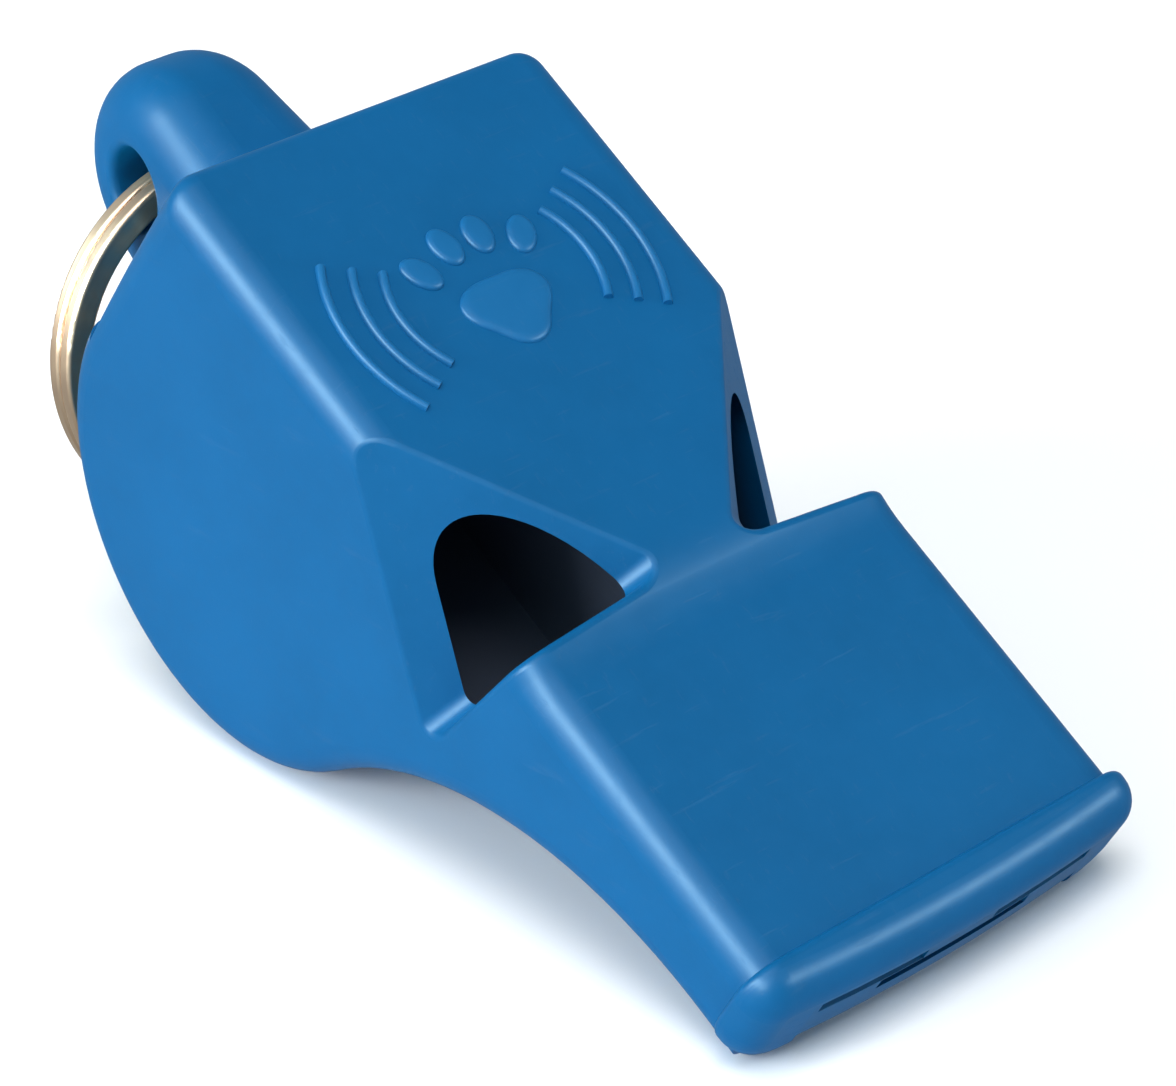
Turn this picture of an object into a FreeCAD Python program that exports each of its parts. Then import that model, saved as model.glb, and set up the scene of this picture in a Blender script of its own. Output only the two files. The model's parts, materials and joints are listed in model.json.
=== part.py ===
import FreeCAD, Part
import math
import os

# Pealess training whistle, in millimetres.
# Everything is drawn in the whistle's own design frame: +X from the barrel to the mouth, +Y across,
# +Z up out of the flat top, with the origin in the middle of the flat top's rear edge. place() then
# lays the finished pieces down on a table, resting on the barrel and on the lower edge of the mouth.

# Overall sizes
WIDTH = 20.65               # across the two flat sides
BARREL_RADIUS = 11.7        # outside of the barrel's curved wall
BARREL_X = 9.65             # barrel axis, forward of the rear edge
BARREL_DROP = 13.87         # barrel axis, below the flat top
MOUTH_X = 44.3              # front of the mouth lip, on the centre line
MOUTH_TOP_DROP = 0.6        # mouthpiece top, below the flat top
MOUTH_HEIGHT = 5.5          # mouthpiece, top to bottom
THROAT_RADIUS = 24.0        # hollow curve under the mouthpiece
EDGE_RADIUS = 1.6           # rounding of the long outside edges
REAR_EDGE_RADIUS = 0.8      # rounding of the flat top's rear edge
REAR_INSET = 0.8            # the rear wall lies this deep behind the barrel's curve
SEAM_ANGLE = 175.0          # degrees round the barrel where the rear wall meets the base insert

# Neck between the flat top and the mouthpiece
NECK_START_X = 24.1
NECK_LENGTH = 4.0

# Mouth lip: the raised bead that the teeth hold behind
LIP_X = 41.9                # rear face of the bead
LIP_RISE = 0.45             # how far the bead stands out of the mouthpiece
LIP_BOW = 0.55              # how far the middle of the lip stands in front of its ends
LIP_CROWN_RADIUS = 1.7      # rounding of the bead's upper corners, seen from the front
LIP_HEEL_RADIUS = 2.4       # and of its lower corners
LIP_RIM_RADIUS = 1.5        # rounding round the front
LIP_REAR_RADIUS = 0.35      # rounding behind the bead

# Notches at the two front corners, each a slanted facet and the wall facing it
FACET_START_X = 13.5        # where a facet leaves the long top edge
NOTCH_INNER_X = 25.5        # notch's inner top corner
NOTCH_INNER_Y = 1.6
NOTCH_LOW_X = 24.3          # notch's lowest corner, on the side face
NOTCH_LOW_DROP = 9.95
NOTCH_FRONT_X = 26.2        # mouthpiece's outer rear corner
NOTCH_ROOT_RADIUS = 0.8     # rounding in the bottom of a notch
FACET_EDGE_RADIUS = 0.35    # rounding where a facet leaves the flat top and the side

# Walls and chambers
CHAMBER_SIDE_WALL = 1.55    # beside an upper chamber
CHAMBER_ROOF = 0.75         # over the crown of an upper chamber
SPINE_HALF = 1.95           # half of the rib between the two upper chambers
REAR_WALL = 2.2
DECK_DROP = 10.4            # floor of the upper chambers, below the flat top
DECK_THICKNESS = 1.3
BARREL_WALL = 1.7
INSERT_HALF = 7.9           # half width of the base insert
INSERT_RECESS = 0.5         # and lies this deep between the side walls at the mouth
INSERT_STEP_X = 22.7        # where the insert's mouth block ends and its deck begins
INSERT_NOSE_RADIUS = 1.5    # rounding under the insert's front edge
WEB_THICKNESS = 1.2         # insert, behind the lower chamber

# Air ways
ROOF_FRONT = 1.3            # mouthpiece roof, at the mouth
ROOF_REAR = 0.9             # mouthpiece roof, at the notches
AIRWAY_HEIGHT = 0.65
AIRWAY_SIDE_MARGIN = 0.35   # insert left standing outside each side air way
CENTRE_AIRWAY_FLOOR = 0.8   # insert left under the centre air way
CENTRE_AIRWAY_FLARE_X = 40.7    # where its flared entrance begins
LOWER_WINDOW_HALF = 4.2
LOWER_WINDOW_FRONT = 137.0  # degrees round the throat's centre
LOWER_WINDOW_REAR = 144.0
LOWER_CHAMBER_FRONT = 138.5     # the centre air way ends in the window, just short of the chamber
LABIUM_BEVEL = 6.0          # degrees of barrel wall that taper to the blowing edge

# Lug and ring
LUG_X = -7.6                # centre of the lug's rounded end and of its hole
LUG_DROP = 12.8
LUG_RADIUS = 5.3
LUG_HALF = 3.65             # half width beside the hole
LUG_ROOT_X = 2.0
LUG_ROOT_RADIUS = 5.9
LUG_ROOT_HALF = 4.5
LUG_EDGE_RADIUS = 2.8
LUG_HOLE_RADIUS = 2.0
LUG_HOLE_EDGE = 0.4
LUG_TONGUE_MARGIN = 0.9     # shell left round the lug's root where the insert is cut away
RING_OUTER_RADIUS = 9.0
RING_WIRE_DEPTH = 1.3       # radially
RING_WIRE_WIDTH = 0.82      # along the ring's axis, one turn
RING_TURN_GAP = 0.05        # between the two turns
RING_WIRE_ROUNDING = 0.22
RING_AXIS_OFFSET = 0.1      # hinge axis, outside the wire's centre line
RING_JOG_ANGLE = 26.0       # degrees over which the wire crosses from one turn to the other
RING_END_GAP = 1.5          # degrees between the jog and each end of the wire
RING_JOG_AT = 215.0         # degrees round the ring from the lug

FAR = 60.0                  # longer than any cut needs


def point(x, z, y=0.0):
    return FreeCAD.Vector(x, y, z)


def polar(centre, radius, degrees):
    """Point in the XZ plane, at an angle measured from +X towards +Z."""
    angle = math.radians(degrees)
    return centre + point(radius * math.cos(angle), radius * math.sin(angle))


def line(start, end):
    return Part.LineSegment(start, end).toShape()


def arc(centre, radius, start, end):
    middle = (start + end) / 2
    ends = [polar(centre, radius, angle) for angle in (start, middle, end)]
    return Part.Arc(*ends).toShape()


def slab(edges, half_width):
    """Solid with the side view EDGES, from -half_width to +half_width across."""
    face = Part.Face(Part.Wire(edges))
    face.translate(FreeCAD.Vector(0, -half_width, 0))
    return face.extrude(FreeCAD.Vector(0, 2 * half_width, 0))


def slab_disc(centre, radius):
    """Round bar across the whistle."""
    across = FreeCAD.Vector(0, 1, 0)
    return Part.makeCylinder(radius, 2 * WIDTH, centre - across * WIDTH, across)


def polygon_slab(corners, half_width):
    closed = corners + corners[:1]
    return slab([line(a, b) for a, b in zip(closed, closed[1:])], half_width)


def band(low, high, z_low=-FAR, z_high=FAR, x_low=-FAR, x_high=FAR):
    """Box from LOW to HIGH across, as long and as tall as asked."""
    return Part.makeBox(x_high - x_low, high - low, z_high - z_low, FreeCAD.Vector(x_low, low, z_low))


def edges_where(shape, test):
    """Edges whose middle and ends all pass TEST."""
    chosen = []
    for edge in shape.Edges:
        first, last = edge.ParameterRange
        spots = [edge.valueAt(first + share * (last - first)) for share in (0.02, 0.5, 0.98)]
        if all(test(spot) for spot in spots):
            chosen.append(edge)
    return chosen


BARREL_CENTRE = point(BARREL_X, -BARREL_DROP)
MOUTH_TOP = -MOUTH_TOP_DROP
MOUTH_FLOOR = MOUTH_TOP - MOUTH_HEIGHT
INSERT_FLOOR = MOUTH_FLOOR + INSERT_RECESS
LIP_HALF = WIDTH / 2 + LIP_RISE
RING_WIRE_RADIUS = RING_OUTER_RADIUS - RING_WIRE_DEPTH / 2


def half_space(origin, normal):
    """Large block on the side of a plane that NORMAL points to."""
    block = Part.makeBox(2 * FAR, 2 * FAR, 2 * FAR, FreeCAD.Vector(-FAR, -FAR, 0))
    block.Placement = FreeCAD.Placement(origin, FreeCAD.Rotation(FreeCAD.Vector(0, 0, 1), normal))
    return block


def throat_centre(mouth_floor):
    """Centre of the hollow curve that touches the barrel and the mouthpiece's flat underside."""
    rise = mouth_floor - THROAT_RADIUS
    reach = BARREL_RADIUS + THROAT_RADIUS
    run = math.sqrt(reach ** 2 - (rise - BARREL_CENTRE.z) ** 2)
    return point(BARREL_CENTRE.x + run, rise)


def meeting_angle(mouth_floor):
    """Where the barrel meets the throat curve, in degrees round the barrel."""
    towards = throat_centre(mouth_floor) - BARREL_CENTRE
    return 360 + math.degrees(math.atan2(towards.z, towards.x))


def tangent_angle(start, radius):
    """Where a straight wall from START touches the barrel at its rear, in degrees."""
    away = start - BARREL_CENTRE
    return math.degrees(math.atan2(away.z, away.x) + math.acos(radius / away.Length))


def side_outline(mouth_floor, front_x):
    """Side view of the body, without the lug and the lip."""
    wall_angle = tangent_angle(point(0, 0), BARREL_RADIUS)
    meeting = meeting_angle(mouth_floor)
    throat = throat_centre(mouth_floor)
    neck_end = NECK_START_X + NECK_LENGTH
    neck_middle = point(NECK_START_X + NECK_LENGTH / 2, MOUTH_TOP / 2)
    neck_radius = (NECK_LENGTH ** 2 + MOUTH_TOP_DROP ** 2) / (4 * MOUTH_TOP_DROP)
    half_turn = math.degrees(math.asin(NECK_LENGTH / 2 / neck_radius)) / 2
    crest = point(NECK_START_X, -neck_radius)
    hollow = point(neck_end, MOUTH_TOP + neck_radius)
    throat_end = math.degrees(math.acos(min(0.0, (front_x - throat.x) / THROAT_RADIUS)))
    low_front = point(front_x, polar(throat, THROAT_RADIUS, throat_end).z)
    flat_underside = [line(point(throat.x, mouth_floor), low_front)] if front_x > throat.x else []
    return [
        line(point(0, 0), polar(BARREL_CENTRE, BARREL_RADIUS, wall_angle)),
        arc(BARREL_CENTRE, BARREL_RADIUS, wall_angle, meeting),
        arc(throat, THROAT_RADIUS, meeting - 180, throat_end),
        *flat_underside,
        line(low_front, point(front_x, MOUTH_TOP)),
        line(point(front_x, MOUTH_TOP), point(neck_end, MOUTH_TOP)),
        Part.Arc(point(neck_end, MOUTH_TOP), polar(hollow, neck_radius, 270 - half_turn),
                 neck_middle).toShape(),
        Part.Arc(neck_middle, polar(crest, neck_radius, 90 - half_turn),
                 point(NECK_START_X, 0)).toShape(),
        line(point(NECK_START_X, 0), point(0, 0)),
    ]


def body_block():
    block = slab(side_outline(MOUTH_FLOOR, (LIP_X + MOUTH_X) / 2), WIDTH / 2)
    rear_top = edges_where(block, lambda p: abs(p.x) < 1e-4 and abs(p.z) < 1e-4)
    block = block.makeFillet(REAR_EDGE_RADIUS, rear_top)
    on_side = edges_where(block, lambda p: abs(abs(p.y) - WIDTH / 2) < 1e-4 and p.x < LIP_X + 1.0)
    return block.makeFillet(EDGE_RADIUS, on_side)


def rear_relief():
    """Sliver that sinks the rear wall behind the barrel's curve, down to the insert's seam."""
    wall_foot = polar(BARREL_CENTRE, BARREL_RADIUS, tangent_angle(point(0, 0), BARREL_RADIUS))
    start = wall_foot * (EDGE_RADIUS / wall_foot.Length)
    seam = polar(BARREL_CENTRE, BARREL_RADIUS - REAR_INSET, SEAM_ANGLE)
    outer = polar(BARREL_CENTRE, BARREL_RADIUS + EDGE_RADIUS, SEAM_ANGLE)
    return polygon_slab([start, seam, outer, point(outer.x, start.z)], WIDTH)


def bow_radius():
    return (LIP_HALF ** 2 + LIP_BOW ** 2) / (2 * LIP_BOW)


def bow_x(y, front_x):
    """How far forward the bowed end of the mouth stands, Y off the centre line."""
    return front_x - bow_radius() + math.sqrt(bow_radius() ** 2 - y ** 2)


def bow_cutter(front_x):
    """Everything in front of the gently bowed end of the mouth."""
    centre = FreeCAD.Vector(front_x - bow_radius(), 0, -FAR)
    room = band(-WIDTH, WIDTH, x_low=LIP_X, x_high=front_x + LIP_RIM_RADIUS)
    return room.cut(Part.makeCylinder(bow_radius(), 2 * FAR, centre))


def lip():
    """Bead round the mouth end, with a bowed and rounded front."""
    top = MOUTH_TOP + LIP_RISE
    block = band(-LIP_HALF, LIP_HALF, MOUTH_FLOOR, top, LIP_X, MOUTH_X)
    for height, radius in ((top, LIP_CROWN_RADIUS), (MOUTH_FLOOR, LIP_HEEL_RADIUS)):
        corners = edges_where(block, lambda p: abs(abs(p.y) - LIP_HALF) < 1e-4
                              and abs(p.z - height) < 1e-4)
        block = block.makeFillet(radius, corners)
    block = block.cut(bow_cutter(MOUTH_X))
    rear = edges_where(block, lambda p: abs(p.x - LIP_X) < 1e-4)
    block = block.makeFillet(LIP_REAR_RADIUS, rear)
    rim = edges_where(block, lambda p: abs(p.x - bow_x(p.y, MOUTH_X)) < 1e-3)
    return block.makeFillet(LIP_RIM_RADIUS, rim)


def notch_corners(side):
    """Inner, lowest and front corners of a notch; side is 1 or -1."""
    half = side * WIDTH / 2
    return (point(NOTCH_INNER_X, 0, side * NOTCH_INNER_Y),
            point(NOTCH_LOW_X, -NOTCH_LOW_DROP, half),
            point(NOTCH_FRONT_X, MOUTH_TOP, half))


def facet_corner(side):
    """Where a facet leaves the long top edge."""
    return point(FACET_START_X, 0, side * WIDTH / 2)


def notch(side):
    """Prism that takes off the front corner, leaving the facet and the wall facing it."""
    inner, low, front = notch_corners(side)
    along = (low - inner).normalize()

    def leg(corner):
        across = corner - inner
        across = across - along * across.dot(along)
        return across.normalize() * FAR

    root = inner - along * WIDTH
    triangle = Part.makePolygon([root, root + leg(facet_corner(side)), root + leg(front), root])
    prism = Part.Face(triangle).extrude(along * ((low - inner).Length + 2 * WIDTH))
    on_root = edges_where(prism, lambda p: (p - root).cross(along).Length < 1e-4)
    return prism.makeFillet(NOTCH_ROOT_RADIUS, on_root)


def notch_wall_space(side):
    """Everything in front of the wall that faces a facet."""
    inner, low, front = notch_corners(side)
    normal = (low - inner).cross(front - inner)
    return half_space(inner, normal * (1 if normal.x > 0 else -1))


def lug_half_at(x):
    """Half width of the lug, which narrows evenly towards its tip."""
    slope = (LUG_ROOT_HALF - LUG_HALF) / (LUG_ROOT_X - LUG_X)
    return LUG_HALF + slope * (x - LUG_X)


def lug():
    """Tongue at the rear with a rounded end and a hole through it."""
    tip = point(LUG_X, -LUG_DROP)
    root = point(LUG_ROOT_X, -LUG_DROP)
    lean = math.degrees(math.asin((LUG_ROOT_RADIUS - LUG_RADIUS) / (LUG_ROOT_X - LUG_X)))
    root_top = polar(root, LUG_ROOT_RADIUS, 90 + lean)
    root_low = polar(root, LUG_ROOT_RADIUS, -90 - lean)
    side_view = slab([line(polar(tip, LUG_RADIUS, 90 + lean), root_top), line(root_top, root_low),
                      line(root_low, polar(tip, LUG_RADIUS, -90 - lean)),
                      arc(tip, LUG_RADIUS, 270 - lean, 90 + lean)], WIDTH / 2)
    tail_x = LUG_X - 2 * LUG_RADIUS
    plan = [FreeCAD.Vector(x, side * lug_half_at(x), -FAR)
            for x, side in ((tail_x, -1), (LUG_ROOT_X, -1), (LUG_ROOT_X, 1), (tail_x, 1))]
    wedge = Part.Face(Part.makePolygon(plan + plan[:1])).extrude(FreeCAD.Vector(0, 0, 2 * FAR))
    tongue = side_view.common(wedge)
    rim = edges_where(tongue, lambda p: abs(abs(p.y) - lug_half_at(p.x)) < 1e-3
                      and p.x < root_top.x - 1e-3)
    tongue = tongue.makeFillet(LUG_EDGE_RADIUS, rim)
    tongue = tongue.cut(slab_disc(tip, LUG_HOLE_RADIUS))
    mouths = edges_where(tongue, lambda p: abs(p.y) > LUG_HALF / 2
                         and abs(math.hypot(p.x - tip.x, p.z - tip.z) - LUG_HOLE_RADIUS) < 1e-3)
    return tongue.makeFillet(LUG_HOLE_EDGE, mouths)


def facet_rim(solid, side):
    """Edges along which a facet leaves the flat top and the side."""
    inner, low, _ = notch_corners(side)
    normal = (facet_corner(side) - inner).cross(low - inner).normalize()
    return edges_where(solid, lambda p: abs((p - inner).dot(normal)) < 1e-3
                       and (abs(p.z) < 1e-3 or side * p.y > WIDTH / 2 - EDGE_RADIUS - 1e-3))


def outside():
    """The closed outside of the shell, without the lug, before it is hollowed."""
    solid = body_block().cut(rear_relief()).fuse(lip())
    solid = solid.cut([notch(1), notch(-1)])
    return solid.makeFillet(FACET_EDGE_RADIUS, facet_rim(solid, 1) + facet_rim(solid, -1))


def upper_chamber(side):
    """Arched tube behind a notch, from the rear wall to the wall that faces the facet."""
    outer = WIDTH / 2 - CHAMBER_SIDE_WALL
    radius = (outer - SPINE_HALF) / 2
    middle = side * (outer + SPINE_HALF) / 2
    crown = -CHAMBER_ROOF - radius
    start = FreeCAD.Vector(REAR_WALL, middle, crown)
    forward = FreeCAD.Vector(1, 0, 0)
    length = NOTCH_FRONT_X - REAR_WALL
    tube = Part.makeCylinder(radius, length, start, forward)
    below = band(middle - radius, middle + radius, -DECK_DROP, crown, REAR_WALL, NOTCH_FRONT_X)
    return tube.fuse(below).cut(notch_wall_space(side))


def roof_z(x):
    """Underside of the mouthpiece's roof, which slopes gently along the air ways."""
    front, rear = MOUTH_TOP - ROOF_FRONT, MOUTH_TOP - ROOF_REAR
    return rear + (front - rear) * (x - NOTCH_FRONT_X) / (MOUTH_X - NOTCH_FRONT_X)


def insert_seat():
    """Space that the base insert takes out of the shell."""
    beyond = MOUTH_X + LIP_RIM_RADIUS
    seam_in = polar(BARREL_CENTRE, BARREL_RADIUS - BARREL_WALL, SEAM_ANGLE)
    seam_out = polar(BARREL_CENTRE, BARREL_RADIUS + EDGE_RADIUS, SEAM_ANGLE)
    seat = polygon_slab([
        point(beyond, roof_z(beyond)), point(INSERT_STEP_X, roof_z(INSERT_STEP_X)),
        point(INSERT_STEP_X, -DECK_DROP), point(REAR_WALL, -DECK_DROP), seam_in, seam_out,
        point(-FAR, seam_out.z), point(-FAR, -FAR), point(beyond, -FAR)], INSERT_HALF)
    return seat.cut(lug_tongue())


def lug_tongue():
    """Strip of the shell's rear wall that runs down behind the lug, past the seam."""
    lowest = -LUG_DROP - LUG_ROOT_RADIUS - LUG_TONGUE_MARGIN
    inner = BARREL_RADIUS - BARREL_WALL
    outer = BARREL_RADIUS + EDGE_RADIUS
    end = 180 + math.degrees(math.asin((BARREL_CENTRE.z - lowest) / BARREL_RADIUS))
    start = SEAM_ANGLE - LUG_TONGUE_MARGIN
    return slab([
        arc(BARREL_CENTRE, inner, start, end),
        line(polar(BARREL_CENTRE, inner, end), polar(BARREL_CENTRE, outer, end)),
        arc(BARREL_CENTRE, outer, end, start),
        line(polar(BARREL_CENTRE, outer, start), polar(BARREL_CENTRE, inner, start)),
    ], LUG_ROOT_HALF + LUG_TONGUE_MARGIN)


def body_shell():
    chambers = [upper_chamber(side) for side in (1, -1)]
    hollow = outside().cut(insert_seat()).cut(chambers)
    inside = slab_disc(BARREL_CENTRE, BARREL_RADIUS - BARREL_WALL)
    return hollow.fuse(lug().cut(inside)).removeSplitter()


def lower_chamber():
    """Room inside the barrel, under the deck."""
    throat = throat_centre(INSERT_FLOOR)
    inner = BARREL_RADIUS - BARREL_WALL
    ceiling = -DECK_DROP - DECK_THICKNESS
    meeting = meeting_angle(INSERT_FLOOR)
    web_foot = SEAM_ANGLE + math.degrees(WEB_THICKNESS / inner)
    front = polar(throat, THROAT_RADIUS + BARREL_WALL, LOWER_CHAMBER_FRONT)
    return slab([
        line(point(REAR_WALL + WEB_THICKNESS, ceiling), polar(BARREL_CENTRE, inner, web_foot)),
        arc(BARREL_CENTRE, inner, web_foot, meeting),
        arc(throat, THROAT_RADIUS + BARREL_WALL, meeting - 180, LOWER_CHAMBER_FRONT),
        line(front, point(front.x, ceiling)),
        line(point(front.x, ceiling), point(REAR_WALL + WEB_THICKNESS, ceiling)),
    ], INSERT_HALF - BARREL_WALL)


def lower_window():
    """Slot in the underside, and the bevel that sharpens its rear edge."""
    throat = throat_centre(INSERT_FLOOR)
    outer = THROAT_RADIUS - BARREL_WALL
    inner = THROAT_RADIUS + BARREL_WALL
    return polygon_slab([
        polar(throat, outer, LOWER_WINDOW_FRONT), polar(throat, inner, LOWER_WINDOW_FRONT),
        polar(throat, inner, LOWER_WINDOW_REAR + LABIUM_BEVEL),
        polar(throat, THROAT_RADIUS, LOWER_WINDOW_REAR), polar(throat, outer, LOWER_WINDOW_REAR),
    ], LOWER_WINDOW_HALF)


def centre_airway():
    """Curved way from the mouth to the lower window, flared at the mouth."""
    throat = throat_centre(INSERT_FLOOR)
    low = THROAT_RADIUS + CENTRE_AIRWAY_FLOOR
    high = low + AIRWAY_HEIGHT
    beyond = MOUTH_X + LIP_RIM_RADIUS
    bend = math.degrees(math.acos((CENTRE_AIRWAY_FLARE_X - throat.x) / low))
    mouth_high = point(beyond, roof_z(beyond))
    mouth_low = point(beyond, roof_z(beyond) - AIRWAY_HEIGHT)
    return slab([
        arc(throat, low, LOWER_WINDOW_FRONT, bend),
        line(polar(throat, low, bend), mouth_low),
        line(mouth_low, mouth_high),
        line(mouth_high, polar(throat, high, bend)),
        arc(throat, high, bend, LOWER_WINDOW_FRONT),
        line(polar(throat, high, LOWER_WINDOW_FRONT), polar(throat, low, LOWER_WINDOW_FRONT)),
    ], LOWER_WINDOW_HALF)


def side_airway(side):
    """Groove in the top of the insert, from the mouth to a notch."""
    beyond = MOUTH_X + LIP_RIM_RADIUS
    rear = INSERT_STEP_X - 1.0
    inner, outer = SPINE_HALF, INSERT_HALF - AIRWAY_SIDE_MARGIN
    groove = polygon_slab([
        point(rear, roof_z(rear)), point(beyond, roof_z(beyond)),
        point(beyond, roof_z(beyond) - AIRWAY_HEIGHT), point(rear, roof_z(rear) - AIRWAY_HEIGHT),
    ], (outer - inner) / 2)
    groove.translate(FreeCAD.Vector(0, side * (inner + outer) / 2, 0))
    return groove


def base_insert():
    block = slab(side_outline(INSERT_FLOOR, MOUTH_X + 1.0), INSERT_HALF).cut(bow_cutter(MOUTH_X))
    nose = edges_where(block, lambda p: abs(p.x - bow_x(p.y, MOUTH_X)) < 1e-3
                       and abs(p.y) < INSERT_HALF - 1e-4 and p.z < roof_z(MOUTH_X))
    block = block.makeFillet(INSERT_NOSE_RADIUS, nose)
    cuts = [upper_chamber(side) for side in (1, -1)] + [side_airway(side) for side in (1, -1)]
    cuts += [lower_chamber(), lower_window(), centre_airway(), notch(1), notch(-1)]
    return block.common(insert_seat()).cut(cuts)


def wire_section(angle, along):
    """Rounded section of the ring's wire, ANGLE degrees round from the top, ALONG the ring's axis."""
    depth, width, rounding = RING_WIRE_DEPTH / 2, RING_WIRE_WIDTH / 2, RING_WIRE_ROUNDING
    turn = FreeCAD.Rotation(FreeCAD.Vector(1, 0, 0), angle)
    shift = (1 - math.sqrt(0.5)) * rounding

    def spot(across, out):
        return turn.multVec(FreeCAD.Vector(along + across, 0, RING_WIRE_RADIUS + out))

    edges = []
    for a, b in ((1, 1), (-1, 1), (-1, -1), (1, -1)):
        corner = [spot(a * width, b * (depth - rounding)), spot(a * (width - shift), b * (depth - shift)),
                  spot(a * (width - rounding), b * depth)]
        edges.append(corner if a * b > 0 else corner[::-1])
    loop = []
    for here, after in zip(edges, edges[1:] + edges[:1]):
        loop += [Part.Arc(*here).toShape(), line(here[2], after[0])]
    return Part.Wire(loop)


def split_ring():
    """Two turns of flattened wire side by side, joined where the wire crosses over."""
    pitch = RING_WIRE_WIDTH + RING_TURN_GAP
    half_jog = RING_JOG_ANGLE / 2
    axis = FreeCAD.Vector(1, 0, 0)
    jog_steps = 8
    sections = []
    for step in range(jog_steps + 1):
        share = step / jog_steps
        climb = share * share * (3 - 2 * share)
        sections.append(wire_section(RING_JOG_AT - half_jog + share * RING_JOG_ANGLE,
                                     (climb - 0.5) * pitch))
    crossing = Part.makeLoft(sections, True, False)
    turn_length = 360 - RING_JOG_ANGLE - RING_END_GAP
    turns = []
    for along, start in ((-pitch / 2, RING_JOG_AT + half_jog + RING_END_GAP),
                         (pitch / 2, RING_JOG_AT + half_jog)):
        face = Part.Face(wire_section(start, along))
        turns.append(face.revolve(FreeCAD.Vector(0, 0, 0), axis, turn_length))
    ring = crossing.fuse(turns).removeSplitter()
    ring.translate(FreeCAD.Vector(0, 0, -RING_WIRE_RADIUS - RING_AXIS_OFFSET))
    return ring


def rest_tilt():
    """Degrees that the flat top slopes down when the barrel and the mouth lie on a table."""
    nose_x = bow_x(INSERT_HALF, MOUTH_X) - LIP_RIM_RADIUS
    reach = point(nose_x, MOUTH_FLOOR + LIP_RIM_RADIUS) - BARREL_CENTRE
    rise = math.atan2(reach.z, reach.x)
    return math.degrees(rise + math.asin((BARREL_RADIUS - LIP_RIM_RADIUS) / reach.Length))


def place(shapes):
    """Lay the body's pieces on the table, hang the ring in its hole, and centre it all."""
    turn = FreeCAD.Placement(FreeCAD.Vector(0, 0, 0),
                             FreeCAD.Rotation(FreeCAD.Vector(0, 1, 0), rest_tilt()))
    placed = {name: shape.transformed(turn.toMatrix()) for name, shape in shapes.items()
              if name != "split_ring"}
    ring = shapes["split_ring"].copy()
    ring.translate(turn.multVec(point(LUG_X, -LUG_DROP)))
    placed["split_ring"] = ring
    bounds = Part.makeCompound(list(placed.values())).optimalBoundingBox()
    shift = FreeCAD.Vector(-bounds.Center.x, -bounds.Center.y, -bounds.ZMin)
    for shape in placed.values():
        shape.translate(shift)
    return placed


def main():
    os.makedirs("parts", exist_ok=True)
    pieces = place({"body_shell": body_shell(), "base_insert": base_insert(),
                    "split_ring": split_ring()})
    for name, shape in pieces.items():
        shape.exportStep(f"parts/{name}.step")
        print(name, "solids", len(shape.Solids), "valid", shape.isValid(), "mm3", round(shape.Volume, 1))


if __name__ == "__main__":
    main()
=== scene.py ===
import json
import math

import bmesh
import bpy
from bpy.props import FloatProperty, FloatVectorProperty, IntProperty, PointerProperty
from mathutils import Matrix, Vector


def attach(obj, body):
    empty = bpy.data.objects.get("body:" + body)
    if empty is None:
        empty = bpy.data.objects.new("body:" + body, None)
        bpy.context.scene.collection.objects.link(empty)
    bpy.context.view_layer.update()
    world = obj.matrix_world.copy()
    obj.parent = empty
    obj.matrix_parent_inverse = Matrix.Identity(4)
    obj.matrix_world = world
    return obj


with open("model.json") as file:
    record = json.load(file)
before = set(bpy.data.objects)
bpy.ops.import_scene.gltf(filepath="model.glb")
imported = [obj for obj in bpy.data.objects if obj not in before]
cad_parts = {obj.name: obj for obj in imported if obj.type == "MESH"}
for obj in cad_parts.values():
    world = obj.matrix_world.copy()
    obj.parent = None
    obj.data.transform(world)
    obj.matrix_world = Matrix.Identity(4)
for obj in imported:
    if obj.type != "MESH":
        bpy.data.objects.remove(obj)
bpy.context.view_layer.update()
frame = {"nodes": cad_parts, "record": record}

bl_info = {
    "name": "Training whistle looks",
    "version": (1, 0, 0),
    "blender": (4, 5, 0),
    "location": "3D View > Sidebar > Whistle",
    "description": "Finishes, relief motif and stage for a pealess training whistle",
    "category": "Object",
}

MM = 0.001
TOP_MIDDLE_X = 12.0     # where the flat top's mount point lies, in millimetres from its rear edge


# ---------------------------------------------------------------------------
# The whistle's own frame: +X to the mouth, +Y across, +Z out of the flat top

def mount(name):
    return next(m for m in frame["record"]["mounts"] if m["name"] == name)


def whistle_matrix():
    """From the whistle's own frame, in metres, to the row frame it lies in on the table."""
    up = Vector(mount("flat_top")["axis"])
    tilt = math.atan2(up.x, up.z)
    middle_of_top = Vector((TOP_MIDDLE_X * MM, 0, 0))
    turn = Matrix.Rotation(tilt, 4, "Y")
    place = Vector(mount("flat_top")["pos_m"]) - turn @ middle_of_top
    return Matrix.Translation(place) @ turn


WHISTLE = whistle_matrix()
RING_MIDDLE = Vector(mount("ring_eye")["pos_m"])


# ---------------------------------------------------------------------------
# Shader tools

class Socket:
    """A shader output that takes part in Python arithmetic by adding Math or Vector Math nodes."""

    def __init__(self, shader, output):
        self.shader = shader
        self.output = output

    def _math(self, operation, first, second):
        if "VECTOR" in (getattr(v, "output", None) and v.output.type for v in (first, second)):
            return self.shader.node("VectorMath", {"operation": operation}, first, second)
        return self.shader.node("Math", {"operation": operation}, first, second)

    def __add__(self, other):
        return self._math("ADD", self, other)

    def __radd__(self, other):
        return self._math("ADD", other, self)

    def __sub__(self, other):
        return self._math("SUBTRACT", self, other)

    def __rsub__(self, other):
        return self._math("SUBTRACT", other, self)

    def __mul__(self, other):
        return self._math("MULTIPLY", self, other)


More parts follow.
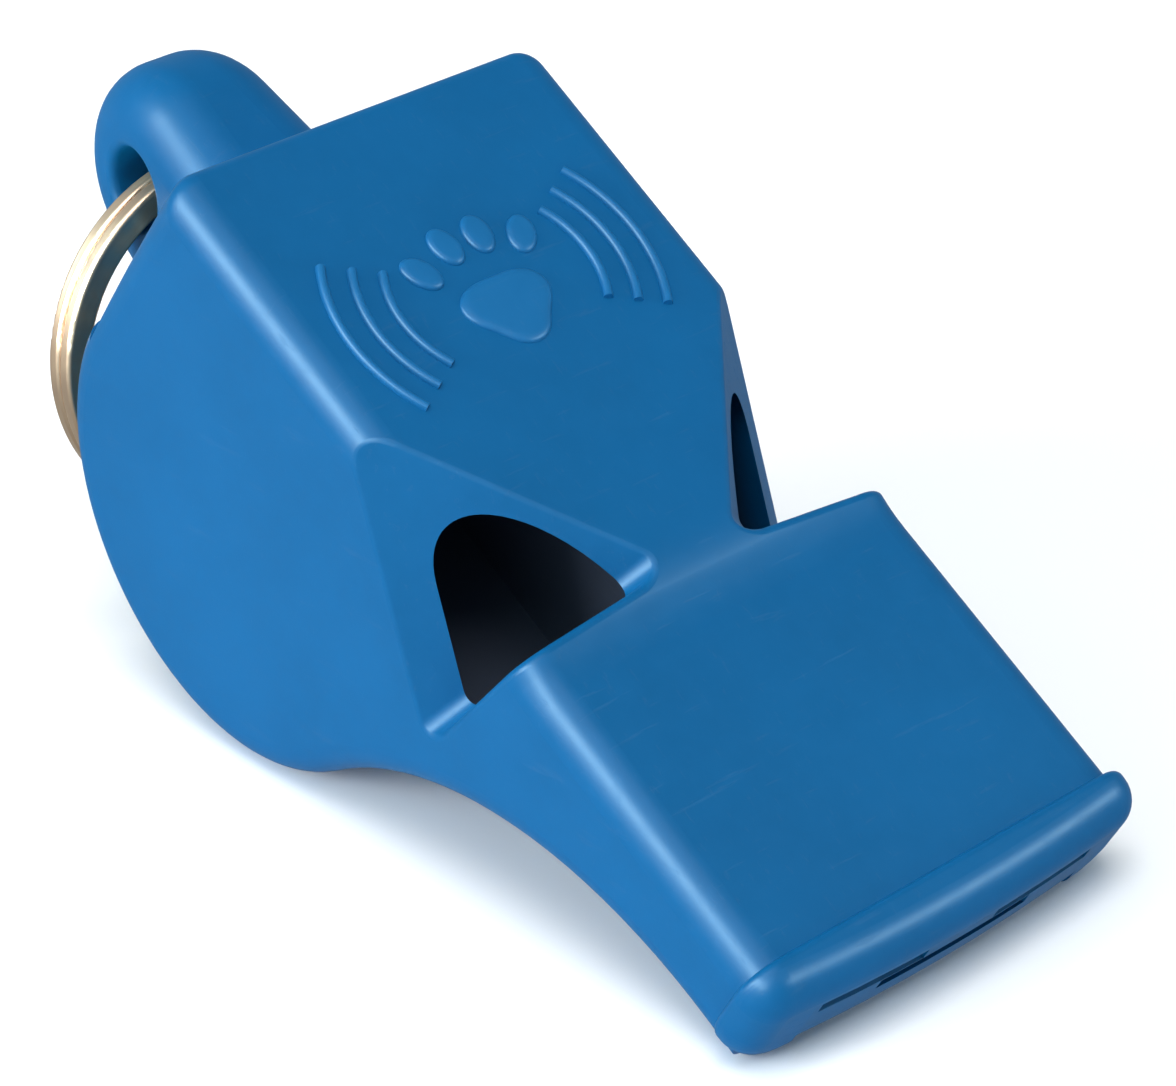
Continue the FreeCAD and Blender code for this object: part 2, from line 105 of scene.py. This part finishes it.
class Shader:
    """A material and the one way its nodes are made."""

    def __init__(self, name):
        self.material = bpy.data.materials.new(name)
        self.material.use_nodes = True
        self.tree = self.material.node_tree
        self.tree.nodes.clear()

    def node(self, kind, settings=None, *values, **named):
        """Add a node of this kind; VALUES go to its inputs in order and NAMED ones by name."""
        made = self.tree.nodes.new("ShaderNode" + kind)
        for key, value in (settings or {}).items():
            if key == "stops":
                self._set_ramp(made.color_ramp, value)
            else:
                setattr(made, key, value)
        for index, value in enumerate(values):
            self._feed(made.inputs[index], value)
        for key, value in named.items():
            self._feed(made.inputs[key.replace("_", " ")], value)
        shown = [output for output in made.outputs if output.enabled]
        return Socket(self, shown[0]) if shown else made

    def pick(self, socket, name):
        """Another output of the node that SOCKET comes from."""
        return Socket(self, socket.output.node.outputs[name])

    def _feed(self, target, value):
        if isinstance(value, Socket):
            self.tree.links.new(value.output, target)
        elif target.type == "RGBA" and len(value) == 3:
            target.default_value = (*value, 1.0)
        else:
            target.default_value = value

    @staticmethod
    def _set_ramp(ramp, stops):
        while len(ramp.elements) < len(stops):
            ramp.elements.new(0.5)
        for element, (place, shade) in zip(ramp.elements, stops):
            element.position = place
            element.color = (shade, shade, shade, 1.0)

    def ramp(self, value, *stops):
        return self.node("ValToRGB", {"stops": stops}, value)

    def mix(self, share, first, second):
        """Colour between FIRST and SECOND."""
        made = self.tree.nodes.new("ShaderNodeMix")
        made.data_type = "RGBA"
        for name, value in (("Factor_Float", share), ("A_Color", first), ("B_Color", second)):
            target = next(s for s in made.inputs if s.identifier == name)
            self._feed(target, value)
        return Socket(self, next(s for s in made.outputs if s.identifier == "Result_Color"))

    def millimetres(self):
        """Object coordinates, in millimetres."""
        place = self.pick(self.node("TexCoord"), "Object")
        return self.node("VectorMath", {"operation": "SCALE"}, place, Scale=1 / MM)

    def noise(self, place, scale, detail=2.0, roughness=0.5):
        return self.node("TexNoise", {}, place, Scale=scale, Detail=detail, Roughness=roughness)

    def stretched(self, place, factors):
        return self.node("VectorMath", {"operation": "MULTIPLY"}, place, factors)

    def bump(self, height, depth):
        """Normal of a height from 0 to 1 that is DEPTH millimetres tall."""
        return self.node("Bump", {}, Strength=1.0, Distance=depth * MM, Height=height)

    def finish(self, **inputs):
        surface = self.node("BsdfPrincipled", {}, **inputs)
        self.node("OutputMaterial", {}, surface)
        return self.material


def scratch_mask(shader, place, across, seed):
    """Thin hairlines that run one way, from 0 to 1."""
    streaks = shader.noise(shader.stretched(place + (seed, 0, seed), across), 1.0, 3.0)
    return shader.ramp(streaks, (0.66, 0.0), (0.70, 1.0), (0.74, 0.0))


WINDOW_PLANE_POINT = Vector((25.5, 1.6, 0.0))       # inner top corner of a facet, in the whistle's frame
WINDOW_PLANE_NORMAL = Vector((0.496, 0.682, 0.538))     # out of the facet
CHAMBER_REAR = 1.5      # a point within these four limits is inside a chamber or just at its wall
CHAMBER_HALF_WIDTH = 8.9
CHAMBER_ROOF = -0.7
CHAMBER_FLOOR = -10.5
CHAMBER_SHADE = (0.030, 0.034, 0.046)       # painted shade: the near-black colour laid on the inside of a chamber, for what little light it returns
CHAMBER_FADE = (0.3, 2.6)       # the painted shade comes in between these two depths behind the window


def chamber_depth(shader, place):
    """How deep a point lies inside an upper chamber, from 0 at its window to 1; this places the painted
    shade.
    """
    origin = WHISTLE.translation / MM
    tilt = WHISTLE.to_euler().y
    local = shader.node("VectorRotate", {"rotation_type": "Y_AXIS"}, place - tuple(origin), Angle=-tilt)
    split = shader.node("SeparateXYZ", {}, local)
    across, up = shader.pick(split, "Y"), shader.pick(split, "Z")
    side = shader.node("Math", {"operation": "ABSOLUTE"}, across)
    mirrored = shader.node("CombineXYZ", {}, split, side, up)
    inward = shader.node("VectorMath", {"operation": "DOT_PRODUCT"},
                         tuple(WINDOW_PLANE_POINT) - mirrored, tuple(WINDOW_PLANE_NORMAL))
    deep = shader.node("MapRange", {"interpolation_type": "SMOOTHSTEP"}, inward,
                       *CHAMBER_FADE, 0.0, 1.0)
    inside = (shader.node("Math", {"operation": "LESS_THAN"}, side, CHAMBER_HALF_WIDTH)
              * shader.node("Math", {"operation": "LESS_THAN"}, up, CHAMBER_ROOF)
              * shader.node("Math", {"operation": "GREATER_THAN"}, up, CHAMBER_FLOOR)
              * shader.node("Math", {"operation": "GREATER_THAN"}, split, CHAMBER_REAR))
    return deep * inside


def moulded_plastic(name, colour, wear=1.0):
    """Satin injection-moulded plastic: faint cloudiness, fine grain, hairline scratches, and painted
    shade inside the chambers.
    """
    shader = Shader(name)
    place = shader.millimetres()
    cloud = shader.noise(place, 0.16, 3.0)
    mottle = shader.noise(place, 1.1, 4.0, 0.6)
    grain = shader.noise(place, 9.0, 2.0)
    along = scratch_mask(shader, place, (0.25, 5.0, 2.0), 3.0)
    across = scratch_mask(shader, place, (4.0, 0.3, 2.0), 11.0)
    scratches = (along + across) * (0.5 * wear)
    deep = tuple(c * 0.90 for c in colour)
    pale = tuple(min(1.0, c * 1.08 + 0.001) for c in colour)
    tone = shader.mix(shader.ramp(cloud, (0.3, 0.0), (0.7, 1.0)), deep, colour)
    tone = shader.mix(shader.ramp(mottle, (0.35, 0.0), (0.8, 0.35)), tone, pale)
    tone = shader.mix(scratches * 0.10, tone, tuple(c * 0.8 + 0.12 for c in colour))
    # painted shade: inside each upper chamber the colour goes to near black with depth behind the window
    tone = shader.mix(chamber_depth(shader, place) * 0.96, tone, CHAMBER_SHADE)
    roughness = 0.35 + mottle * 0.10 + scratches * 0.16
    relief = grain * 0.5 + mottle * 0.5 - scratches
    return shader.finish(Base_Color=tone, Roughness=roughness, Normal=shader.bump(relief, 0.004),
                         IOR=1.45, Specular_IOR_Level=0.10)


def drawn_steel(name, colour):
    """Drawn wire: fine streaks along the wire, soft tarnish, tiny pits."""
    shader = Shader(name)
    place = shader.millimetres()
    centre = RING_MIDDLE / MM
    out = shader.node("SeparateXYZ", {}, place - tuple(centre))
    side, up = shader.pick(out, "Y"), shader.pick(out, "Z")
    angle = shader.node("Math", {"operation": "ARCTAN2"}, side, up)
    radius = shader.node("Math", {"operation": "SQRT"}, side * side + up * up)
    wire_place = shader.node("CombineXYZ", {}, angle * 1.6, radius * 14.0, out * 14.0)
    streaks = shader.noise(wire_place, 1.0, 4.0, 0.6)
    tarnish = shader.noise(place, 0.45, 3.0)
    pits = shader.noise(place, 7.0, 2.0)
    dull = shader.ramp(tarnish, (0.42, 0.0), (0.72, 1.0))
    brown = tuple(c * s for c, s in zip(colour, (0.62, 0.56, 0.42)))
    tone = shader.mix(dull * 0.55, colour, brown)
    tone = shader.mix(streaks * 0.22, tone, tuple(c * 0.7 for c in colour))
    roughness = 0.26 + streaks * 0.16 + dull * 0.12
    return shader.finish(Base_Color=tone, Metallic=1.0, Roughness=roughness,
                         Normal=shader.bump(streaks * 0.7 + pits * 0.3, 0.01))


# ---------------------------------------------------------------------------
# Mesh tools

def dress(node_name, material):
    """Give a CAD node its finish; its mesh stays as it is."""
    node = frame["nodes"][node_name]
    node.data.materials.clear()
    node.data.materials.append(material)
    return node


def new_piece(name, mesh, material, body):
    """A finished piece in the row frame that rides on BODY."""
    mesh.materials.clear()
    mesh.materials.append(material)
    piece = bpy.data.objects.new(name, mesh)
    bpy.context.scene.collection.objects.link(piece)
    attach(piece, body)
    return piece


def ellipse(centre, across, along, lean, steps=28):
    """Outline of a toe, leaned by LEAN radians."""
    turn = Matrix.Rotation(lean, 2)
    spots = []
    for step in range(steps):
        angle = math.tau * step / steps
        spots.append(centre + turn @ Vector((along * math.cos(angle), across * math.sin(angle))))
    return spots


def heel_pad(centre, size, steps=48):
    """Outline of a paw's main pad: a rounded triangle with a dented rear."""
    spots = []
    for step in range(steps):
        angle = math.tau * step / steps
        reach = size * (1.0 + 0.13 * math.cos(3 * angle) - 0.10 * math.cos(angle))
        spots.append(centre + Vector((reach * 0.88 * math.cos(angle), reach * math.sin(angle))))
    return spots


def add_island(mesh, outline, height, edge, sunk=0.06, rings=5):
    """Low rounded island over OUTLINE, standing HEIGHT millimetres out of the flat top."""
    middle = sum(outline, Vector((0, 0))) / len(outline)
    reach = sum((spot - middle).length for spot in outline) / len(outline)
    levels = [(0.0, -sunk)]
    for ring in range(rings + 1):
        turn = math.pi / 2 * ring / rings
        levels.append((edge * (1 - math.cos(turn)), height * math.sin(turn)))
    loops = []
    for inset, level in levels:
        share = 1 - inset / reach
        loops.append([mesh.verts.new((*(middle + (spot - middle) * share), level)) for spot in outline])
    for low, high in zip(loops, loops[1:]):
        for index in range(len(outline)):
            after = (index + 1) % len(outline)
            mesh.faces.new((low[index], low[after], high[after], high[index]))
    mesh.faces.new(loops[-1])
    mesh.faces.new(loops[0][::-1])


# ---------------------------------------------------------------------------
# Settings

class WhistleFinishes(bpy.types.PropertyGroup):
    shell_colour: FloatVectorProperty(
        name="Shell colour", description="Plastic of the body shell", subtype="COLOR",
        size=3, min=0.0, max=1.0, default=(0.001, 0.101, 0.272))
    insert_colour: FloatVectorProperty(
        name="Insert colour", description="Plastic of the base insert", subtype="COLOR",
        size=3, min=0.0, max=1.0, default=(0.002, 0.092, 0.242))
    # painted highlight: the relief gets a lighter copy of the shell's plastic colour, standing in for
    # light catching the raised motif
    relief_colour: FloatVectorProperty(
        name="Relief colour", description="Painted highlight: lighter plastic on top of the relief", subtype="COLOR",
        size=3, min=0.0, max=1.0, default=(0.006, 0.125, 0.322))
    steel_colour: FloatVectorProperty(
        name="Steel colour", description="Wire of the split ring", subtype="COLOR",
        size=3, min=0.0, max=1.0, default=(0.56, 0.355, 0.230))


class WhistleRelief(bpy.types.PropertyGroup):
    height: FloatProperty(
        name="Relief height", description="How far the motif stands out of the flat top",
        default=0.22 * MM, min=0.05 * MM, max=0.6 * MM, unit="LENGTH", precision=5)
    middle_x: FloatProperty(
        name="Motif place", description="Middle of the motif, from the flat top's rear edge",
        default=10.6 * MM, unit="LENGTH", precision=5)
    pad_size: FloatProperty(
        name="Pad size", description="Radius of the paw's main pad",
        default=2.1 * MM, unit="LENGTH", precision=5)
    wave_count: IntProperty(
        name="Waves", description="Sound waves on each side of the paw", default=3, min=1, max=6)
    wave_start: FloatProperty(
        name="First wave", description="Radius of the innermost wave",
        default=5.0 * MM, unit="LENGTH", precision=5)
    wave_step: FloatProperty(
        name="Wave spacing", description="From one wave to the next",
        default=1.35 * MM, unit="LENGTH", precision=5)
    wave_sweep: FloatProperty(
        name="Wave sweep", description="Angle that a wave covers",
        default=math.radians(62), subtype="ANGLE")
    stroke: FloatProperty(
        name="Stroke", description="Width of a wave's line",
        default=0.55 * MM, unit="LENGTH", precision=5)


class WhistleStage(bpy.types.PropertyGroup):
    floor_colour: FloatVectorProperty(
        name="Floor colour", description="Plain pale floor", subtype="COLOR",
        size=3, min=0.0, max=1.0, default=(0.96, 0.96, 0.96))
    strip_power: FloatProperty(
        name="Strip lights", description="Power of the narrow lights that draw the highlights",
        default=21.0, unit="POWER")
    side_power: FloatProperty(
        name="Side light", description="Power of the soft box at the side", default=1.7, unit="POWER")
    top_power: FloatProperty(
        name="Top light", description="Power of the soft box above", default=7.4, unit="POWER")
    sky_strength: FloatProperty(
        name="Room light", description="Strength of the even light all round", default=0.40)
    lens: FloatProperty(
        name="Lens", description="Focal length of the camera on a 36 mm sensor", default=117.56)


def settings():
    scene = bpy.context.scene
    return scene.whistle_finishes, scene.whistle_relief, scene.whistle_stage


# ---------------------------------------------------------------------------
# Operators, one for each piece or group of pieces

class WHISTLE_OT_body_shell(bpy.types.Operator):
    """Give the body shell its moulded plastic"""
    bl_idname = "whistle.body_shell"
    bl_label = "Body shell"

    def execute(self, context):
        finishes, _, _ = settings()
        dress("body_shell", moulded_plastic("shell plastic", tuple(finishes.shell_colour)))
        return {"FINISHED"}


class WHISTLE_OT_base_insert(bpy.types.Operator):
    """Give the base insert its moulded plastic"""
    bl_idname = "whistle.base_insert"
    bl_label = "Base insert"

    def execute(self, context):
        finishes, _, _ = settings()
        dress("base_insert", moulded_plastic("insert plastic", tuple(finishes.insert_colour), 0.5))
        return {"FINISHED"}


class WHISTLE_OT_split_ring(bpy.types.Operator):
    """Give the split ring its drawn steel"""
    bl_idname = "whistle.split_ring"
    bl_label = "Split ring"

    def execute(self, context):
        finishes, _, _ = settings()
        dress("split_ring", drawn_steel("ring steel", tuple(finishes.steel_colour)))
        return {"FINISHED"}


class WHISTLE_OT_paw_relief(bpy.types.Operator):
    """Raise a plain paw print on the flat top"""
    bl_idname = "whistle.paw_relief"
    bl_label = "Paw relief"

    def execute(self, context):
        finishes, relief, _ = settings()
        pad = relief.pad_size / MM
        height = relief.height / MM
        mesh = bmesh.new()
        add_island(mesh, heel_pad(Vector((pad * 0.62, 0)), pad), height, pad * 0.22)
        for side in (-1, 1):
            for place, lean in ((0.42, 0.12), (1.30, 0.50)):
                centre = Vector((-pad * (1.42 - 0.42 * place), side * pad * place))
                toe = ellipse(centre, pad * 0.33, pad * 0.50, -side * lean)
                add_island(mesh, toe, height, pad * 0.16)
        mesh.transform(WHISTLE @ Matrix.Translation((relief.middle_x, 0, 0)) @ Matrix.Scale(MM, 4))
        bmesh.ops.recalc_face_normals(mesh, faces=mesh.faces)
        data = bpy.data.meshes.new("paw_relief")
        mesh.to_mesh(data)
        mesh.free()
        data.shade_smooth()
        # painted highlight: the relief plastic is lighter than the shell's, standing in for light
        # catching the raised motif
        plastic = moulded_plastic("relief plastic", tuple(finishes.relief_colour))
        new_piece("paw_relief", data, plastic, "whistle")
        return {"FINISHED"}


class WaveTree:
    """Geometry Nodes tree that draws sound waves as nested arcs on both sides of a middle point."""

    def __init__(self, name):
        self.tree = bpy.data.node_groups.new(name, "GeometryNodeTree")
        self.inputs = self.tree.nodes.new("NodeGroupInput")
        self.output = self.tree.nodes.new("NodeGroupOutput")
        self.tree.interface.new_socket("Geometry", in_out="OUTPUT", socket_type="NodeSocketGeometry")
        self.names = {}

    def input(self, name, kind):
        item = self.tree.interface.new_socket(name, in_out="INPUT", socket_type="NodeSocket" + kind)
        self.names[name] = item.identifier
        return self.inputs.outputs[name]

    def node(self, kind, settings=None, **named):
        made = self.tree.nodes.new(kind)
        for key, value in (settings or {}).items():
            setattr(made, key, value)
        for key, value in named.items():
            target = next(s for s in made.inputs if s.enabled and s.name == key.replace("_", " "))
            if isinstance(value, bpy.types.NodeSocket):
                self.tree.links.new(value, target)
            else:
                target.default_value = value
        return made

    def math(self, operation, first, second):
        made = self.tree.nodes.new("ShaderNodeMath")
        made.operation = operation
        for target, value in zip(made.inputs, (first, second)):
            if isinstance(value, bpy.types.NodeSocket):
                self.tree.links.new(value, target)
            else:
                target.default_value = value
        return made.outputs[0]


def wave_tree():
    made = WaveTree("sound waves")
    count = made.input("Count", "Int")
    start = made.input("First radius", "Float")
    step = made.input("Spacing", "Float")
    sweep = made.input("Sweep", "Float")
    stroke = made.input("Stroke", "Float")
    height = made.input("Height", "Float")
    finish = made.input("Material", "Material")
    index = made.node("GeometryNodeInputIndex").outputs[0]
    radius = made.math("ADD", start, made.math("MULTIPLY", index, step))
    spots = made.node("GeometryNodePoints", Count=count, Radius=MM).outputs[0]
    first_angle = made.math("SUBTRACT", math.pi / 2, made.math("DIVIDE", sweep, 2.0))
    bow = made.node("GeometryNodeCurveArc", {"mode": "RADIUS"}, Resolution=40, Radius=1.0,
                    Start_Angle=first_angle, Sweep_Angle=sweep).outputs["Curve"]
    size = made.node("ShaderNodeCombineXYZ", X=radius, Y=radius, Z=radius).outputs[0]
    bows = made.node("GeometryNodeInstanceOnPoints", Points=spots, Instance=bow, Scale=size).outputs[0]
    one_side = made.node("GeometryNodeRealizeInstances", Geometry=bows).outputs[0]
    other_side = made.node("GeometryNodeTransform", Geometry=one_side, Rotation=(0, 0, math.pi))
    both = made.node("GeometryNodeJoinGeometry")
    made.tree.links.new(one_side, both.inputs[0])
    made.tree.links.new(other_side.outputs[0], both.inputs[0])
    section = made.node("GeometryNodeCurvePrimitiveCircle", {"mode": "RADIUS"}, Resolution=14, Radius=0.5)
    flat = made.node("ShaderNodeCombineXYZ", X=made.math("MULTIPLY", height, 2.0), Y=stroke, Z=1.0)
    flattened = made.node("GeometryNodeTransform", Geometry=section.outputs[0], Scale=flat.outputs[0])
    swept = made.node("GeometryNodeCurveToMesh", Curve=both.outputs[0],
                      Profile_Curve=flattened.outputs[0], Fill_Caps=True)
    smooth = made.node("GeometryNodeSetShadeSmooth", Geometry=swept.outputs[0])
    whole = made.node("GeometryNodeRealizeInstances", Geometry=smooth.outputs[0])
    painted = made.node("GeometryNodeSetMaterial", Geometry=whole.outputs[0], Material=finish)
    made.tree.links.new(painted.outputs[0], made.output.inputs[0])
    return made


def grown_mesh(name, made, values):
    """Plain mesh that the tree makes from VALUES."""
    maker = bpy.data.objects.new(name + "_maker", bpy.data.meshes.new(name + "_maker"))
    bpy.context.scene.collection.objects.link(maker)
    modifier = maker.modifiers.new("tree", "NODES")
    modifier.node_group = made.tree
    for key, value in values.items():
        modifier[made.names[key]] = value
    bpy.context.view_layer.update()
    ready = maker.evaluated_get(bpy.context.evaluated_depsgraph_get())
    mesh = bpy.data.meshes.new_from_object(ready)
    bpy.data.objects.remove(maker)
    mesh.name = name
    return mesh


class WHISTLE_OT_wave_relief(bpy.types.Operator):
    """Raise sound waves on both sides of the paw print"""
    bl_idname = "whistle.wave_relief"
    bl_label = "Wave relief"

    def execute(self, context):
        _, relief, _ = settings()
        plastic = bpy.data.materials["relief plastic"]
        mesh = grown_mesh("wave_relief", wave_tree(), {
            "Count": relief.wave_count, "First radius": relief.wave_start, "Spacing": relief.wave_step,
            "Sweep": relief.wave_sweep, "Stroke": relief.stroke, "Height": relief.height,
            "Material": plastic})
        mesh.transform(WHISTLE @ Matrix.Translation((relief.middle_x, 0, 0)))
        new_piece("wave_relief", mesh, plastic, "whistle")
        return {"FINISHED"}


CAMERA_PLACE = Vector((72.34, -89.05, 122.13))      # millimetres, in the whistle's own frame
CAMERA_AIM = Vector((20.37, 0.20, -6.56))
CAMERA_ROLL = math.radians(27.98)
LAMP_AIM = Vector((0, 0, 0.012))        # metres, in the row frame, as are the lamps' places
SIDE_STRIP = ((0.02, -0.32, 0.26), (0.44, 0.13))        # place, then width and height
FRONT_STRIP = ((0.30, 0.23, 0.17), (0.24, 0.05))
SIDE_BOX = ((-0.14, -0.40, 0.15), (0.30, 0.20))
TOP_BOX = ((0.30, -0.16, 0.90), (0.60, 0.60))
FRONT_SHARE = 0.25      # power of the front strip, as a share of the side strip's
STRIP_TINT = (0.52, 0.82, 1.0)
ROOM_TINT = (0.88, 0.97, 1.0, 1.0)
FLOOR_HALF = 2.0


def aimed(place, aim, roll=0.0):
    """Matrix of a lamp or a camera at PLACE that looks at AIM."""
    back = (place - aim).normalized()
    turn = back.to_track_quat("Z", "Y").to_matrix() @ Matrix.Rotation(roll, 3, "Z")
    return Matrix.Translation(place) @ turn.to_4x4()


def add_camera(lens):
    data = bpy.data.cameras.new("studio camera")
    data.lens = lens
    data.clip_start = 0.005
    data.clip_end = 10.0
    camera = bpy.data.objects.new("studio_camera", data)
    bpy.context.scene.collection.objects.link(camera)
    camera.matrix_world = WHISTLE @ aimed(CAMERA_PLACE * MM, CAMERA_AIM * MM, CAMERA_ROLL)
    bpy.context.scene.camera = camera


def add_soft_box(name, place, size, power, shine_tint=None):
    """Rectangular lamp that looks at the whistle; a tinted one shows in highlights alone."""
    data = bpy.data.lights.new(name, "AREA")
    data.shape = "RECTANGLE"
    data.size, data.size_y = size
    data.energy = power
    lamp = bpy.data.objects.new(name, data)
    bpy.context.scene.collection.objects.link(lamp)
    if shine_tint:
        data.color = shine_tint
        lamp.visible_diffuse = False
    lamp.matrix_world = aimed(Vector(place), LAMP_AIM)


def floor_finish(colour):
    shader = Shader("pale floor")
    place = shader.millimetres()
    speckle = shader.noise(place, 0.02, 2.0)
    tone = shader.mix(speckle * 0.2, tuple(colour), tuple(c * 0.97 for c in colour))
    return shader.finish(Base_Color=tone, Roughness=0.9)


class WHISTLE_OT_stage(bpy.types.Operator):
    """Lay the floor, hang the soft boxes and set the camera"""
    bl_idname = "whistle.stage"
    bl_label = "Stage"

    def execute(self, context):
        _, _, stage = settings()
        mesh = bpy.data.meshes.new("floor")
        corners = [(x * FLOOR_HALF, y * FLOOR_HALF, 0) for x, y in ((-1, -1), (1, -1), (1, 1), (-1, 1))]
        mesh.from_pydata(corners, [], [(0, 1, 2, 3)])
        mesh.materials.append(floor_finish(stage.floor_colour))
        floor = bpy.data.objects.new("floor", mesh)
        context.scene.collection.objects.link(floor)
        add_soft_box("side strip", *SIDE_STRIP, stage.strip_power, STRIP_TINT)
        add_soft_box("front strip", *FRONT_STRIP, stage.strip_power * FRONT_SHARE, STRIP_TINT)
        add_soft_box("side box", *SIDE_BOX, stage.side_power)
        add_soft_box("top box", *TOP_BOX, stage.top_power)
        floor.visible_glossy = False
        world = bpy.data.worlds.new("studio room")
        world.use_nodes = True
        sky = world.node_tree.nodes["Background"]
        sky.inputs["Color"].default_value = ROOM_TINT
        sky.inputs["Strength"].default_value = stage.sky_strength
        context.scene.world = world
        context.scene.view_settings.view_transform = "Standard"
        add_camera(stage.lens)
        return {"FINISHED"}


class WHISTLE_PT_panel(bpy.types.Panel):
    """Every piece of the whistle, in building order"""
    bl_label = "Training whistle"
    bl_idname = "WHISTLE_PT_panel"
    bl_space_type = "VIEW_3D"
    bl_region_type = "UI"
    bl_category = "Whistle"

    def draw(self, context):
        for group in settings():
            column = self.layout.column(align=True)
            for key in group.__annotations__:
                column.prop(group, key)
        for operator in OPERATORS:
            self.layout.operator(operator.bl_idname)


OPERATORS = (WHISTLE_OT_body_shell, WHISTLE_OT_base_insert, WHISTLE_OT_split_ring,
             WHISTLE_OT_paw_relief, WHISTLE_OT_wave_relief, WHISTLE_OT_stage)
GROUPS = (WhistleFinishes, WhistleRelief, WhistleStage)


def register():
    for kind in (*GROUPS, *OPERATORS, WHISTLE_PT_panel):
        bpy.utils.register_class(kind)
    bpy.types.Scene.whistle_finishes = PointerProperty(type=WhistleFinishes)
    bpy.types.Scene.whistle_relief = PointerProperty(type=WhistleRelief)
    bpy.types.Scene.whistle_stage = PointerProperty(type=WhistleStage)


def unregister():
    del bpy.types.Scene.whistle_stage
    del bpy.types.Scene.whistle_relief
    del bpy.types.Scene.whistle_finishes
    for kind in (WHISTLE_PT_panel, *reversed(OPERATORS), *reversed(GROUPS)):
        bpy.utils.unregister_class(kind)


def main():
    register()
    for operator in OPERATORS:
        group, name = operator.bl_idname.split(".")
        getattr(getattr(bpy.ops, group), name)()


if __name__ == "__main__":
    main()
